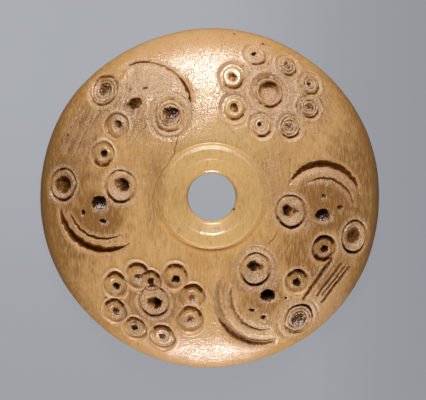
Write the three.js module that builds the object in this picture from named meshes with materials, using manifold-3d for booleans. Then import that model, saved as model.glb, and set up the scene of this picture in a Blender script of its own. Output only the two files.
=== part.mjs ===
// A bone spindle whorl: a turned disc with a flat underside, a domed upper face with carved ring-and-dot
// marks and crescents, a low collar, and a bore for the spindle.
// Millimetres, +Z up. The origin is the middle of the underside, which lies flat.
import * as THREE from "three";
import { mergeVertices } from "three/addons/utils/BufferGeometryUtils.js";
import Module from "manifold-3d";

const wasm = await Module();
wasm.setup();

// The turned blank
const discRadius = 23;
const rimHeight = 1.2; // where the side is upright, above the underside
const domeRise = 8.6; // from there to the dome's apex, if no bore were drilled
const domeFullness = 1.6; // 2 is an ellipse, less is nearer a cone
const edgeRound = 1; // how far the underside's edge is rounded in
const outlineWander = [
  // the hand-turned outline: [lobes round the disc, height of a lobe, bearing of the first lobe in degrees]
  [2, 0.023, 165],
  [3, 0.059, 41],
  [4, 0.035, 65],
  [6, 0.058, 23],
];

// The bore and its collar stand a little off the disc's own axis
const boreOffset = new THREE.Vector2(0.24, 0.06);
const boreRadius = 3.2;
const boreFlare = 0.2; // the bore is this much wider in radius at the underside
const lipRound = 0.28; // the worn edge between the bore and its funnel
const funnelWidth = 1.6;
const funnelDepth = 0.75;
const collarFace = 1.6; // the width of the collar's flat face
const collarWall = 0.75; // the width of the slope from that face down to the dome
const collarHeight = 0.55; // the face above the dome at the foot of the slope

// The bits that cut the marks, as [radius, depth] from the axis outwards
const petalBit = [
  [0, 0.85],
  [0.48, 0.26],
  [1.26, 0.2],
  [1.5, 0.42],
  [1.86, 0.04],
];
const eyeBit = [
  [0, 1.35],
  [0.82, 0.72],
  [1.72, 0.2],
  [2.02, 0.52],
  [2.5, 0.04],
];
const heartBit = [
  [0, 1.5],
  [1.05, 1.05],
  [1.42, 0.24],
  [1.85, 0.24],
  [2.12, 0.52],
  [2.6, 0.04],
];
const noseBit = [
  [0, 1.25],
  [0.7, 0.75],
  [0.95, 0],
];
const prickBit = [
  [0, 0.5],
  [0.32, 0],
];
const grainStretch = 1.08; // marks come out longer along the grain, which runs north to south
const bitClear = 0.7; // how far every bit stands out of the bone

// Marks lie on the dome at [east, north], as shares of the disc's radius. Each face has two ringed eyes,
// a drilled nose, two pricks and a crescent of one or two grooves.
const faces = [
  {
    eyes: [[-0.624, 0.632], [-0.235, 0.482]],
    nose: [-0.438, 0.553],
    pricks: [[-0.471, 0.632], [-0.382, 0.64]],
    crescents: [{ centre: [-0.384, 0.518], radius: 6.33, from: 2, to: 120, width: 0.5, depth: 0.3 }],
  },
  {
    eyes: [[-0.868, 0.076], [-0.524, 0.065]],
    nose: [-0.65, -0.032],
    pricks: [[-0.744, -0.085], [-0.629, -0.137]],
    crescents: [
      { centre: [-0.622, -0.061], radius: 5.85, from: 178, to: 306, width: 1.15, depth: 0.75 },
      { centre: [-0.623, -0.045], radius: 4.61, from: 190, to: 302, width: 0.4, depth: 0.25 },
    ],
  },
  {
    eyes: [[0.476, -0.082], [0.853, -0.232]],
    nose: [0.664, -0.1],
    pricks: [[0.668, 0.009], [0.765, -0.056]],
    crescents: [
      { centre: [0.658, -0.045], radius: 5.45, from: 18, to: 142, width: 1.1, depth: 0.7 },
      { centre: [0.659, -0.073], radius: 4.26, from: 2, to: 122, width: 0.4, depth: 0.25 },
    ],
  },
  {
    eyes: [[0.268, -0.421], [0.521, -0.715]],
    nose: [0.34, -0.572],
    pricks: [[0.25, -0.66], [0.312, -0.703]],
    crescents: [
      { centre: [0.296, -0.584], radius: 5.9, from: 150, to: 292, width: 0.9, depth: 0.5 },
      { centre: [0.31, -0.583], radius: 4.4, from: 150, to: 284, width: 0.45, depth: 0.3 },
    ],
  },
];
// Two small marks link the two faces of each pair
const links = [[-0.547, 0.421], [-0.629, 0.253], [0.671, -0.3], [0.512, -0.491]];
// A rosette is a heart with petals round it, each at [bearing in degrees, reach]
const rosettes = [
  {
    heart: [0.347, 0.621],
    petals: [[158, 5.34], [205, 5.21], [109, 5.31], [54, 4.36], [11, 5.65], [339, 5.8], [300, 5.49], [257, 4.73]],
  },
  {
    heart: [-0.329, -0.609],
    petals: [
      [50, 4.42], [123, 4.11], [100, 2.75], [157, 5.73], [194, 5.5],
      [235, 4.52], [283, 4.99], [333, 5.48], [7, 5.19],
    ],
  },
];
// Three scored lines run down from a linking mark
const scores = { from: [0.713, -0.357], to: [0.537, -0.598], count: 3, pitch: 1.15, width: 0.45, depth: 0.28 };

// How finely round forms are faceted
const discSteps = 60;
const domeSteps = 10;
const collarSteps = 36;
const petalSteps = 12;
const eyeSteps = 18;
const noseSteps = 10;
const prickSteps = 6;
const grooveSteps = 12;
const scoreSteps = 3;

const up = new THREE.Vector3(0, 0, 1);
const north = new THREE.Vector3(0, 1, 0);
const radians = THREE.MathUtils.degToRad;

// The height of the dome at a distance from the disc's axis
function domeHeight(distance) {
  const share = Math.min(distance / discRadius, 1);
  return rimHeight + domeRise * Math.sqrt(1 - share ** domeFullness);
}

// A point on the dome above [east, north] in shares of the radius, with the dome's outward direction there
function onDome([east, northing]) {
  const point = new THREE.Vector3(east * discRadius, northing * discRadius, 0);
  const distance = point.length();
  const step = 1e-3;
  const slope = (domeHeight(distance + step) - domeHeight(distance - step)) / (2 * step);
  const outward = point.clone().divideScalar(distance).multiplyScalar(-slope).setZ(1).normalize();
  point.z = domeHeight(distance);
  return { point, outward };
}

// A closed body turned about the Z axis from [radius, height] pairs
function turned(profile, steps) {
  const points = profile.map(([radius, height]) => new THREE.Vector2(radius, height));
  return new THREE.LatheGeometry(points, steps).rotateX(Math.PI / 2);
}

// A geometry as a solid that can be joined and cut
function solid(geometry) {
  geometry.deleteAttribute("normal");
  geometry.deleteAttribute("uv");
  const merged = mergeVertices(geometry, 1e-4);
  return new wasm.Manifold(
    new wasm.Mesh({
      numProp: 3,
      vertProperties: merged.attributes.position.array,
      triVerts: new Uint32Array(merged.index.array),
    }),
  );
}

// The plain domed disc, its outline wandering a little from a circle
function disc() {
  const profile = [[0, 0], [discRadius - edgeRound, 0]];
  const corners = 3;
  for (let i = 1; i < corners; i++) {
    const turn = (Math.PI / 2) * (i / corners);
    profile.push([
      discRadius - edgeRound * (1 - Math.sin(turn)),
      rimHeight * (1 - Math.cos(turn)),
    ]);
  }
  for (let i = 0; i <= domeSteps; i++) {
    const share = Math.cos((Math.PI / 2) * (i / domeSteps));
    profile.push([discRadius * share, domeHeight(discRadius * share)]);
  }
  const geometry = turned(profile, discSteps);
  const place = geometry.attributes.position;
  for (let i = 0; i < place.count; i++) {
    const bearing = Math.atan2(place.getY(i), place.getX(i));
    const wander = outlineWander.reduce(
      (sum, [lobes, height, first]) => sum + height * Math.cos(lobes * (bearing - radians(first))),
      0,
    );
    const scale = 1 + wander / discRadius;
    place.setXY(i, place.getX(i) * scale, place.getY(i) * scale);
  }
  return solid(geometry);
}

// The collar is one turned ring, and the bore with its funnel is one turned cutter
const faceInner = boreRadius + lipRound + funnelWidth;
const faceOuter = faceInner + collarFace;
const collarFoot = faceOuter + collarWall;
const footLevel = domeHeight(collarFoot + boreOffset.length());
const faceLevel = footLevel + collarHeight;
const lipLevel = faceLevel - funnelDepth;
const sunk = 1.5; // how deep the ring's foot stands in the dome

function collar() {
  const profile = [
    [boreRadius / 2, footLevel - sunk],
    [collarFoot, footLevel - sunk],
    [collarFoot, footLevel],
    [collarFoot - collarWall * 0.35, footLevel + collarHeight * 0.45],
    [faceOuter + collarWall * 0.12, faceLevel - collarHeight * 0.12],
    [faceOuter - collarWall * 0.3, faceLevel],
    [boreRadius / 2, faceLevel],
    [boreRadius / 2, footLevel - sunk],
  ];
  return solid(turned(profile, collarSteps).translate(boreOffset.x, boreOffset.y, 0));
}

function boreCutter() {
  const over = domeRise;
  const profile = [
    [0, -bitClear],
    [boreRadius + boreFlare, -bitClear],
    [boreRadius + boreFlare, 0],
    [boreRadius, lipLevel - lipRound * 2],
    [boreRadius + lipRound, lipLevel],
    [faceInner, faceLevel],
    [faceInner, faceLevel + over],
    [0, faceLevel + over],
  ];
  return solid(turned(profile, collarSteps).translate(boreOffset.x, boreOffset.y, 0));
}

// The cutter for the space above the collar, where the dome would stand higher than the collar's face
function faceCutter() {
  const rim = faceOuter - collarWall * 0.3;
  const profile = [
    [0, faceLevel],
    [rim, faceLevel],
    [rim, faceLevel + domeRise],
    [0, faceLevel + domeRise],
  ];
  return solid(turned(profile, collarSteps).translate(boreOffset.x, boreOffset.y, 0));
}

// A bit, turned from its section, stood square to the dome at a place and stretched along the grain
function bitAt(section, place, steps) {
  const [edge] = section.at(-1);
  const profile = section.map(([radius, depth]) => [radius, -depth]);
  profile.push([edge + bitClear / 2, bitClear], [0, bitClear]);
  const { point, outward } = onDome(place);
  const east = new THREE.Vector3().crossVectors(north, outward).normalize();
  const along = new THREE.Vector3().crossVectors(outward, east).multiplyScalar(grainStretch);
  const stand = new THREE.Matrix4().makeBasis(east, along, outward).setPosition(point);
  return solid(turned(profile, steps).applyMatrix4(stand));
}

// A V-shaped groove on the dome through a line of places. It is widest and deepest in its middle and
// closes to a point at each end.
function groove(places, width, depth) {
  const last = places.length - 1;
  const vertices = [];
  const triangles = [];
  places.forEach((place, i) => {
    const { point, outward } = onDome(place);
    const before = onDome(places[Math.max(i - 1, 0)]).point;
    const after = onDome(places[Math.min(i + 1, last)]).point;
    const across = new THREE.Vector3().crossVectors(outward, after.sub(before)).normalize();
    const swell = Math.sqrt(Math.sin(Math.PI * (i / last)));
    const clear = bitClear / 2;
    const lip = (side) =>
      point
        .clone()
        .addScaledVector(across, side * ((width / 2) * swell + clear * 0.7))
        .addScaledVector(outward, clear);
    if (i === 0 || i === last) {
      vertices.push(point.clone().addScaledVector(outward, clear));
      return;
    }
    vertices.push(lip(1), point.clone().addScaledVector(outward, -depth * swell), lip(-1));
  });
  const corner = (station, k) => 1 + (station - 1) * 3 + k;
  for (let k = 0; k < 3; k++) {
    const next = (k + 1) % 3;
    triangles.push(0, corner(1, k), corner(1, next));
    triangles.push(vertices.length - 1, corner(last - 1, next), corner(last - 1, k));
    for (let i = 1; i < last - 1; i++) {
      triangles.push(corner(i, k), corner(i + 1, k), corner(i + 1, next));
      triangles.push(corner(i, k), corner(i + 1, next), corner(i, next));
    }
  }
  const geometry = new THREE.BufferGeometry().setFromPoints(vertices).setIndex(triangles);
  return solid(geometry);
}

// The groove of a crescent runs along an arc, from one bearing to another
function crescent({ centre, radius, from, to, width, depth }) {
  const places = [];
  for (let i = 0; i <= grooveSteps; i++) {
    const bearing = radians(from + ((to - from) * i) / grooveSteps);
    places.push([
      centre[0] + (radius * Math.cos(bearing)) / discRadius,
      centre[1] + (radius * Math.sin(bearing)) / discRadius,
    ]);
  }
  return groove(places, width, depth);
}

// Parallel scored lines, one pitch apart towards the rim
function scoredLines({ from, to, count, pitch, width, depth }) {
  const run = [to[0] - from[0], to[1] - from[1]];
  const length = Math.hypot(...run);
  const side = [-run[1] / length, run[0] / length];
  return Array.from({ length: count }, (_, line) => {
    const shift = (line * pitch) / discRadius;
    const places = [];
    for (let i = 0; i <= scoreSteps; i++) {
      places.push([
        from[0] + (run[0] * i) / scoreSteps + side[0] * shift,
        from[1] + (run[1] * i) / scoreSteps + side[1] * shift,
      ]);
    }
    return groove(places, width, depth);
  });
}

// The place of a petal, from its rosette's heart
function petalPlace([east, northing], [bearing, reach]) {
  return [
    east + (reach * Math.cos(radians(bearing))) / discRadius,
    northing + (reach * Math.sin(radians(bearing))) / discRadius,
  ];
}

// Every cut of the carved face
function carving() {
  const cuts = [];
  for (const { eyes, nose, pricks, crescents } of faces) {
    cuts.push(...eyes.map((place) => bitAt(eyeBit, place, eyeSteps)));
    cuts.push(bitAt(noseBit, nose, noseSteps));
    cuts.push(...pricks.map((place) => bitAt(prickBit, place, prickSteps)));
    cuts.push(...crescents.map(crescent));
  }
  cuts.push(...links.map((place) => bitAt(petalBit, place, petalSteps)));
  for (const { heart, petals } of rosettes) {
    cuts.push(bitAt(heartBit, heart, eyeSteps));
    cuts.push(...petals.map((petal) => bitAt(petalBit, petalPlace(heart, petal), petalSteps)));
  }
  cuts.push(...scoredLines(scores));
  return cuts;
}

function whorl() {
  let body = disc().subtract(faceCutter()).add(collar()).subtract(boreCutter());
  for (const cut of carving()) {
    body = body.subtract(cut);
  }
  const mesh = body.getMesh();
  const geometry = new THREE.BufferGeometry();
  geometry.setAttribute("position", new THREE.BufferAttribute(mesh.vertProperties, mesh.numProp));
  geometry.setIndex(new THREE.BufferAttribute(mesh.triVerts, 1));
  geometry.computeVertexNormals();
  const bone = new THREE.MeshStandardMaterial({ color: 0xc9a468, roughness: 0.45, metalness: 0 });
  const piece = new THREE.Mesh(geometry, bone);
  piece.name = "whorl";
  return piece;
}

const part = new THREE.Group();
part.add(whorl());

export default part;
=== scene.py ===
"""Looks of a bone spindle whorl: one turned and carved piece on a plain pale floor.

Shapes are worked out in millimetres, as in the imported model, and written to the mesh in metres.
Places on the dome are [east, north] as shares of the disc's radius, seen from above. The grain runs north.
"""
import math

import bpy
import numpy as np
from bpy.props import FloatProperty, FloatVectorProperty, IntProperty, PointerProperty
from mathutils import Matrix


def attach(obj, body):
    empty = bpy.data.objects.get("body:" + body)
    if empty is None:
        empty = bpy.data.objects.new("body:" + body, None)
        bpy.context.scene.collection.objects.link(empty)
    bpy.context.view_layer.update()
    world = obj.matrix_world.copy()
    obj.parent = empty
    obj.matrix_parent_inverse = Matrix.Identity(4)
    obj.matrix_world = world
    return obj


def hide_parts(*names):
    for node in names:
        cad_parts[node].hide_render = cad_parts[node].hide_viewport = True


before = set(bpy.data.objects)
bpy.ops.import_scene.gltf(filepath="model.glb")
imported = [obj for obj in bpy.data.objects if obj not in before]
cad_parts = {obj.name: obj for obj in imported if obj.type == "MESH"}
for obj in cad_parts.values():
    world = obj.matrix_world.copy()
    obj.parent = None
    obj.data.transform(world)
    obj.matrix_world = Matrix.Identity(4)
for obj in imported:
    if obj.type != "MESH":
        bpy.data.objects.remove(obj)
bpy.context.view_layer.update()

bl_info = {
    "name": "Bone Spindle Whorl",
    "version": (1, 0, 0),
    "blender": (4, 5, 0),
    "location": "View3D > Sidebar > Whorl",
    "description": "A turned bone whorl with ring-and-dot carving, and a pale floor to see it on",
    "category": "Add Mesh",
}

MM = 0.001


def length(name, description, default):
    """A size in metres that a user can change."""
    return FloatProperty(
        name=name, description=description, default=default, min=0, unit="LENGTH", precision=5
    )


def share(name, description, default, most=1.0):
    """A plain number that a user can change."""
    return FloatProperty(name=name, description=description, default=default, min=0, max=most)


def tint(name, description, default):
    """A linear colour that a user can change."""
    return FloatVectorProperty(
        name=name, description=description, default=default, size=3, min=0, max=1, subtype="COLOR"
    )


class WhorlForm(bpy.types.PropertyGroup):
    """The turned blank, before it is carved."""

    disc_radius: length("Disc radius", "Mean radius of the disc", 0.023)
    rim_height: length("Rim height", "Where the side is upright, above the underside", 0.0012)
    dome_rise: length("Dome rise", "From the rim to the dome's apex, if no bore were drilled", 0.0086)
    dome_fullness: share("Dome fullness", "2 is an ellipse, less is nearer a cone", 1.6, 4)
    edge_round: length("Edge round", "How far the underside's edge is rounded in", 0.001)
    bore_radius: length("Bore radius", "Radius of the spindle hole at its lip", 0.0032)
    bore_flare: length("Bore flare", "How much wider the bore is at the underside", 0.0002)
    lip_round: length("Lip round", "The worn edge between the bore and its funnel", 0.00028)
    funnel_width: length("Funnel width", "From the lip out to the collar's face", 0.0016)
    funnel_depth: length("Funnel depth", "From the collar's face down to the funnel's floor", 0.00048)
    funnel_step: length("Funnel step", "The small upright step round the funnel's floor", 0.00013)
    collar_face: length("Collar face", "Width of the collar's flat face", 0.0016)
    collar_wall: length("Collar wall", "Width of the slope from that face to the dome", 0.00075)
    collar_height: length("Collar height", "The face above the dome at the foot of the slope", 0.00055)
    edge_wear: length("Edge wear", "How far the turned edges are worn round", 0.00005)
    wander: length("Wander", "How far the worn surface wanders from a true turned form", 0.00003)
    carving_depth: share("Carving depth", "1 is the real depth of the marks", 1.0, 2)
    steps_round: IntProperty(name="Steps round", description="Points round it before thinning", default=1440)
    triangles: IntProperty(name="Triangles", description="Triangles left after thinning", default=190000)


class BoneLook(bpy.types.PropertyGroup):
    """The colours and finish of old handled bone."""

    light: tint("Light bone", "Pale streaks of the grain", (0.83, 0.5, 0.203))
    dark: tint("Dark bone", "Deeper streaks of the grain", (0.65, 0.35, 0.115))
    # Amber is painted light: the glow of light shining through thin bone, laid at the rim, in shaded hollows and
    # on the lit sides of pits.
    amber: tint("Amber", "Thin bone that light shines through", (0.76, 0.36, 0.07))
    wax: tint("Waxy bone", "The smooth bone of the collar", (0.86, 0.56, 0.215))
    # Worn bone is also laid as painted light on lips, floors, edges and the bottom rim that face the lights.
    worn: tint("Worn bone", "Chalky bone where the polish is lost", (0.84, 0.53, 0.31))
    # Brown, stain and residue are the bone's own colours, and the wear also lays them as painted shade where the
    # lights leave walls, grooves and edges dark.
    brown: tint("Browned bone", "Broad brown patches", (0.36, 0.16, 0.038))
    stain: tint("Stain", "Brown stain in and round the cuts", (0.2, 0.068, 0.008))
    rust: tint("Rust", "Short reddish dashes in the pores", (0.46, 0.17, 0.035))
    residue: tint("Residue", "Dark residue packed in the cuts", (0.04, 0.014, 0.004))
    grit: tint("Grit", "Pale grains in the residue", (0.66, 0.5, 0.4))
    gloss: share("Polished roughness", "Roughness where the bone is polished", 0.22)
    chalk: share("Worn roughness", "Roughness where the polish is lost", 0.62)
    glow: share("Glow", "How much light goes into the bone and comes out nearby", 0.2)
    glow_reach: length("Glow reach", "How far red light travels in the bone", 0.0011)


class StageLook(bpy.types.PropertyGroup):
    """The floor, the lights and the camera."""

    floor_tint: tint("Floor", "Where the floor is lightest", (0.398, 0.412, 0.442))
    floor_fall_right: share("Floor, to the right", "How much darker the floor is at the right", 0.27)
    floor_fall_near: share("Floor, to the bottom", "How much darker the floor is at the bottom", 0.15)
    light_tint: tint("Lights", "Colour of both soft lights", (0.96, 0.965, 1.0))
    key_power: FloatProperty(name="Key light", description="Power of the upper light", default=3.25, unit="POWER")
    fill_power: FloatProperty(name="Fill light", description="Power of the low light", default=3.3, unit="POWER")
    room: share("Room light", "Brightness of the room", 0.075, 4)
    lens: FloatProperty(name="Lens", description="Focal length in millimetres", default=400)


UNITLESS = ("dome_fullness", "carving_depth", "steps_round", "triangles")

# The carving. Sections of the bits are [radius, depth] in millimetres, from the axis outwards.
# A proud ring leaves its middle standing, a sunk one takes it down, and a deep one cuts hard on both sides.
PROUD_RING = [
    (0, 0.16), (0.55, 0.1), (0.85, 0.05), (1.12, 0.1), (1.27, 0.2), (1.36, 0.36), (1.46, 0.36),
    (1.58, 0.15), (1.72, 0.06), (1.95, 0.02), (2.2, 0),
]
SUNK_RING = [
    (0, 0.36), (0.62, 0.35), (0.76, 0.27), (0.95, 0.35), (1.2, 0.42), (1.38, 0.64), (1.54, 0.64), (1.63, 0.22),
    (1.72, 0.04), (1.95, 0),
]
DEEP_RING = [
    (0, 0.66), (0.85, 0.62), (1.25, 0.38), (1.5, 0.22), (1.74, 0.16), (1.9, 0.58), (2.04, 0.62), (2.14, 0.26),
    (2.3, 0.07), (2.7, 0),
]
CUP_RING = [
    (0, 0.26), (1.25, 0.2), (1.6, 0.13), (1.86, 0.2), (1.98, 0.5), (2.14, 0.5), (2.4, 0.26), (2.7, 0.13),
    (2.85, 0.04), (3.05, 0),
]
WORN_RING = [
    (0, 0.28), (1.1, 0.22), (1.76, 0.18), (1.9, 0.36), (2.02, 0.38), (2.14, 0.18), (2.4, 0.06), (2.7, 0),
]
HALO = [(0, 0), (2.5, 0), (2.72, 0.17), (2.92, 0.2), (3.08, 0.06), (3.35, 0)]
WIDE_HALO = [(0, 0), (2.9, 0), (3.2, 0.12), (3.45, 0.17), (3.6, 0.04), (3.9, 0)]
# A pit's section is [share of its radius, share of its depth]
DRILLED = [(0, 1), (0.5, 0.92), (0.82, 0.6), (0.98, 0.18), (1.15, 0)]
CUPPED = [(0, 1), (0.65, 0.94), (0.9, 0.66), (1.0, 0.16), (1.1, 0)]
WORN_IN = [(0, 1), (0.5, 0.8), (1, 0.3), (1.4, 0)]
RING_SOFTNESS = 0.035
HALO_SOFTNESS = 0.05
PIT_SOFTNESS = 0.05
GRAIN_STRETCH = 1.08
BORE_OFFSET = (0.24, 0.06)
# The disc's radius for which the rosettes' reaches are given, in millimetres
DRAWN_RADIUS = 23
# The hand-turned outline: [lobes round the disc, height of a lobe in millimetres, bearing of the first lobe]
OUTLINE_WANDER = [(2, 0.023, 165), (3, 0.059, 41), (4, 0.035, 65), (6, 0.058, 23)]


def pit(east, north, radius, depth, wide=1.0, turn=0, dark=1.0, grit=0.0, section=DRILLED, warm=0.0):
    """A hole whose middle is off its ring's middle by [east, north] millimetres, wide along its turned axis.

    Above 0, warm paints orange light on its left side, and below 0 on its right side.
    """
    return {
        "off": (east, north), "radius": radius, "depth": depth, "wide": wide, "turn": turn,
        "dark": dark, "grit": grit, "section": section, "warm": warm,
    }


def ringed(
    east, north, pits, bit=DEEP_RING, size=1.0, stain=0.6, halo=None, rough=0.0, rim=0.03, darkest=None
):
    """A ringed mark on the dome with the pits in it, and how far its rim stands over the surface round it.

    Its groove is darkest at one bearing if one is given, otherwise to the north and south, with stains and
    painted shade. A rough below 0 is a polished floor.
    """
    return {
        "at": (east, north), "pits": pits, "bit": bit, "size": size, "stain": stain, "halo": halo,
        "rough": rough, "rim": rim, "darkest": darkest,
    }


def prick(east, north, *sizes, **more):
    """A pit that stands alone."""
    return ringed(east, north, [pit(0, 0, *sizes, **more)], bit=None, stain=0, rim=0)


def petals(heart, bit, rim, darkest, rows):
    """The small ringed marks of a rosette.

    A row is a bearing and a reach in millimetres from the heart, the pit, the size, the stain and painted shade
    of its groove, and how rough it is.
    """
    for bearing, reach, hole, size, stain, rough in rows:
        east = heart[0] + reach * math.cos(math.radians(bearing)) / DRAWN_RADIUS
        north = heart[1] + reach * math.sin(math.radians(bearing)) / DRAWN_RADIUS
        yield ringed(east, north, [hole], bit, size, stain, None, rough, rim, darkest)


def named(names, rows):
    """The rows of a table, each as a dictionary with the same names."""
    return [dict(zip(names.split(), row)) for row in rows]


FACE_MARKS = [
    # upper left
    ringed(-0.624, 0.632, [
        pit(0.1, 0.35, 0.8, 0.22, 1.2, 30, 0.66, 0.25, WORN_IN),
    ], WORN_RING, 1, 0.6, None, 0.8),
    ringed(-0.235, 0.482, [
        pit(0.14, 0.4, 0.68, 0.8, 1.7, -12, 0.85, 0.45, warm=0.3),
        pit(-0.1, -0.7, 0.5, 0.15, 1.8, 0, 0.3, 0.35, WORN_IN),
    ], WORN_RING, 1.02, 0.65, HALO, 0.6, darkest=240),
    prick(-0.438, 0.553, 0.74, 0.6, 1.25, 12, 0.82, 0.15, warm=-0.5),
    prick(-0.478, 0.517, 0.8, 0.22, 1.3, 40, 0.2, 0.4, WORN_IN, warm=0.3),
    prick(-0.471, 0.632, 0.3, 0.12, 1.3, 60, 0.4, 0.2, WORN_IN),
    prick(-0.382, 0.64, 0.22, 0.25, 1.4, 10, 0.5),
    # lower left
    ringed(-0.868, 0.076, [
        pit(-0.1, 0.02, 1.05, 1.2, 1.25, 0, 0.75, warm=0.3),
    ], stain=0.85, rim=0.04, darkest=330),
    ringed(-0.524, 0.065, [pit(0.1, 0.3, 0.84, 1.15, 1.3, -28, 0.82, warm=0.6)], stain=0.75, darkest=240),
    prick(-0.65, -0.032, 1.0, 0.75, 1.05, 0, 1.0, 0.8, CUPPED),
    prick(-0.744, -0.085, 0.3, 0.55, 1.0),
    prick(-0.629, -0.137, 0.3, 0.5, 1.5, -15),
    # right
    ringed(0.476, -0.082, [
        pit(-0.34, 0.14, 0.76, 1.15, 1.1, 0, 0.86, warm=-0.6),
        pit(0.42, 0.12, 0.38, 0.7, 1.9, -4, 0.7, warm=0.7),
    ], stain=1.0, darkest=260),
    ringed(0.853, -0.232, [pit(-0.05, 0.2, 1.0, 1.0, 1.1, 0, 0.66, warm=0.25)], stain=0.95, darkest=250),
    prick(0.664, -0.1, 0.8, 0.95, 1.25, 5, 0.95, 0.45),
    prick(0.668, 0.009, 0.29, 0.35, 1.15, 0, 0.6),
    prick(0.765, -0.056, 0.32, 0.4, 1.1, 0, 0.7),
    # lower right
    ringed(0.268, -0.421, [
        pit(0, 0.38, 0.66, 1.15, 1.65, -3, 0.88, 0.1, warm=-0.6),
    ], stain=0.95, halo=HALO, rim=0.04, darkest=275),
    ringed(0.521, -0.715, [
        pit(0.05, -0.2, 0.95, 0.4, 1.15, 20, 0.8, 0.9, WORN_IN),
    ], WORN_RING, 1, 1.0, HALO, 1, darkest=70),
    prick(0.34, -0.572, 0.8, 1.2, 1.22, -5, 1.15),
    prick(0.25, -0.66, 0.28, 0.4, 1.35, 0, 0.6),
    prick(0.312, -0.703, 0.27, 0.4, 1.6, 15, 0.65),
    prick(0.445, -0.587, 0.15, 0.25, 1.0, 0, 0.8),
]
LINK_MARKS = [
    ringed(-0.547, 0.421, [
        pit(0.12, 0.25, 0.46, 0.7, 1.15, 0, 0.75, warm=0.4),
    ], SUNK_RING, 1.02, 0.15, rim=0.06, darkest=200),
    ringed(-0.629, 0.253, [
        pit(0.14, 0.14, 0.46, 0.8, 1.0, 0, 1.0, 0.2),
    ], SUNK_RING, 1.0, 0.55, rim=0.13, darkest=262),
    ringed(0.671, -0.3, [pit(0.12, -0.05, 0.48, 0.8, 1.15, 0, 0.95)], SUNK_RING, 1.08, 1.0, rim=0.05),
    ringed(0.512, -0.491, [
        pit(0, -0.18, 0.5, 0.8, 1.15, 0, 0.95),
    ], SUNK_RING, 1.0, 0.9, rim=0.12, darkest=85),
]
UPPER_HEART = (0.347, 0.621)
UPPER_ROSETTE = [
    ringed(*UPPER_HEART, [
        pit(0, 0.05, 1.36, 1.05, 1.0, 0, 0.05, 0, CUPPED, 0.5),
    ], CUP_RING, 0.98, 0.6, WIDE_HALO, 0.5),
    *petals(UPPER_HEART, PROUD_RING, 0.06, 290, [
        (158, 5.34, pit(0.05, 0, 0.52, 0.7, 1, 0, 0.45, 0.2, warm=1), 1.1, 0.7, -1),
        (205, 5.21, pit(0, 0, 0.58, 0.75, 1, 0, 0.5, 0, warm=1), 1.1, 0.6, -1),
        (109, 5.31, pit(-0.25, 0.2, 0.22, 0.5, 2.0, 25, 0.9), 1.0, 0.6, 0.4),
        (54, 4.36, pit(-0.2, 0.15, 0.4, 0.2, 1.2, 20, 0.5, 0.3, WORN_IN), 0.95, 0.5, 1),
        (11, 5.65, pit(-0.1, 0.1, 0.22, 0.5, 1.1, 0, 0.9), 1.0, 0.65, 0.8),
        (339, 5.8, pit(-0.05, 0, 0.4, 0.25, 1.1, 0, 0.5, 0.3, WORN_IN), 1.0, 0.7, 1),
        (300, 5.49, pit(-0.15, 0.1, 0.4, 0.3, 1.1, 0, 0.45, 0.5, WORN_IN), 1.02, 0.75, 0.8),
        (257, 4.73, pit(-0.2, 0.2, 0.28, 0.5, 1.1, 0, 0.8, 0.3), 1.0, 0.75, 0.5),
    ]),
]
LOWER_HEART = (-0.329, -0.609)
LOWER_ROSETTE = [
    *petals(LOWER_HEART, SUNK_RING, 0.27, 80, [
        (50, 4.42, pit(0.12, -0.42, 0.5, 0.8, 1.1, 0, 0.95), 1.04, 0.45, 0),
        (100, 2.75, pit(0, 0, 0.44, 0.6, 1.1, 0, 0.9), 0.9, 0.4, 0),
        (123, 4.11, pit(0.08, -0.12, 0.36, 0.6, 1.5, 5, 0.75, 0.5), 1.08, 0.45, 0),
        (157, 5.73, pit(0.14, -0.2, 0.44, 0.8, 1.25, 0, 0.95), 1.06, 0.5, 0),
        (194, 5.5, pit(0.08, -0.15, 0.52, 0.6, 1.1, 0, 0.75, 0.7), 1.06, 0.85, 0),
        (235, 4.52, pit(-0.12, 0.02, 0.42, 0.6, 1.25, 0, 0.85, 0.2), 1.02, 0.4, 0.6),
        (283, 4.99, pit(0.06, -0.12, 0.46, 0.5, 1.15, 0, 0.7, 0.7), 1.08, 0.75, 0.3),
        (333, 5.48, pit(0, -0.08, 0.44, 0.5, 1.25, 10, 0.65, 0.8), 1.1, 0.55, 0),
        (7, 5.19, pit(0, -0.2, 0.5, 0.4, 1.1, 0, 0.5, 0.9), 1.06, 0.55, 0),
    ]),
    ringed(*LOWER_HEART, [
        pit(0.03, -0.24, 0.78, 1.2, 1.4, 0, 0.86, warm=1.25),
    ], WORN_RING, 0.98, 0.85, rim=0.06),
]
MARKS = [
    {**mark, "number": number}
    for number, mark in enumerate(FACE_MARKS + LINK_MARKS + UPPER_ROSETTE + LOWER_ROSETTE)
]

# Grooves along arcs: centre as shares, radius in millimetres, bearings, half widths inside and outside the
# groove's bottom, depth, how dark its residue is and the side that holds it, -1 inside and 1 outside. That side
# is the wall in shade, and its darkness is partly painted shade.
CRESCENTS = named("centre radius from to inner outer depth dark side", [
    ((-0.384, 0.518), 6.33, -4, 128, 0.34, 0.18, 0.24, 0.5, 0),
    ((-0.384, 0.518), 6.38, 80, 112, 0.3, 0.24, 0.1, 1.06, 0),
    ((-0.384, 0.518), 6.36, 4, 46, 0.32, 0.26, 0.1, 1.06, 0),
    ((-0.622, -0.061), 5.95, 172, 308, 1.05, 0.4, 0.95, 0.96, -1),
    ((-0.623, -0.045), 4.61, 184, 308, 0.38, 0.26, 0.36, 0.75, -1),
    ((0.658, -0.045), 5.25, 16, 150, 0.75, 0.86, 0.9, 0.95, 1),
    ((0.659, -0.073), 4.2, 0, 130, 0.34, 0.32, 0.28, 0.68, 1),
    ((0.296, -0.584), 5.95, 146, 294, 0.6, 0.5, 0.6, 0.4, -1),
    ((0.296, -0.584), 6.22, 200, 293, 0.36, 0.6, 0.26, 1.0, 0),
    ((0.31, -0.583), 4.45, 150, 288, 0.42, 0.3, 0.34, 0.55, -1),
])
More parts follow.
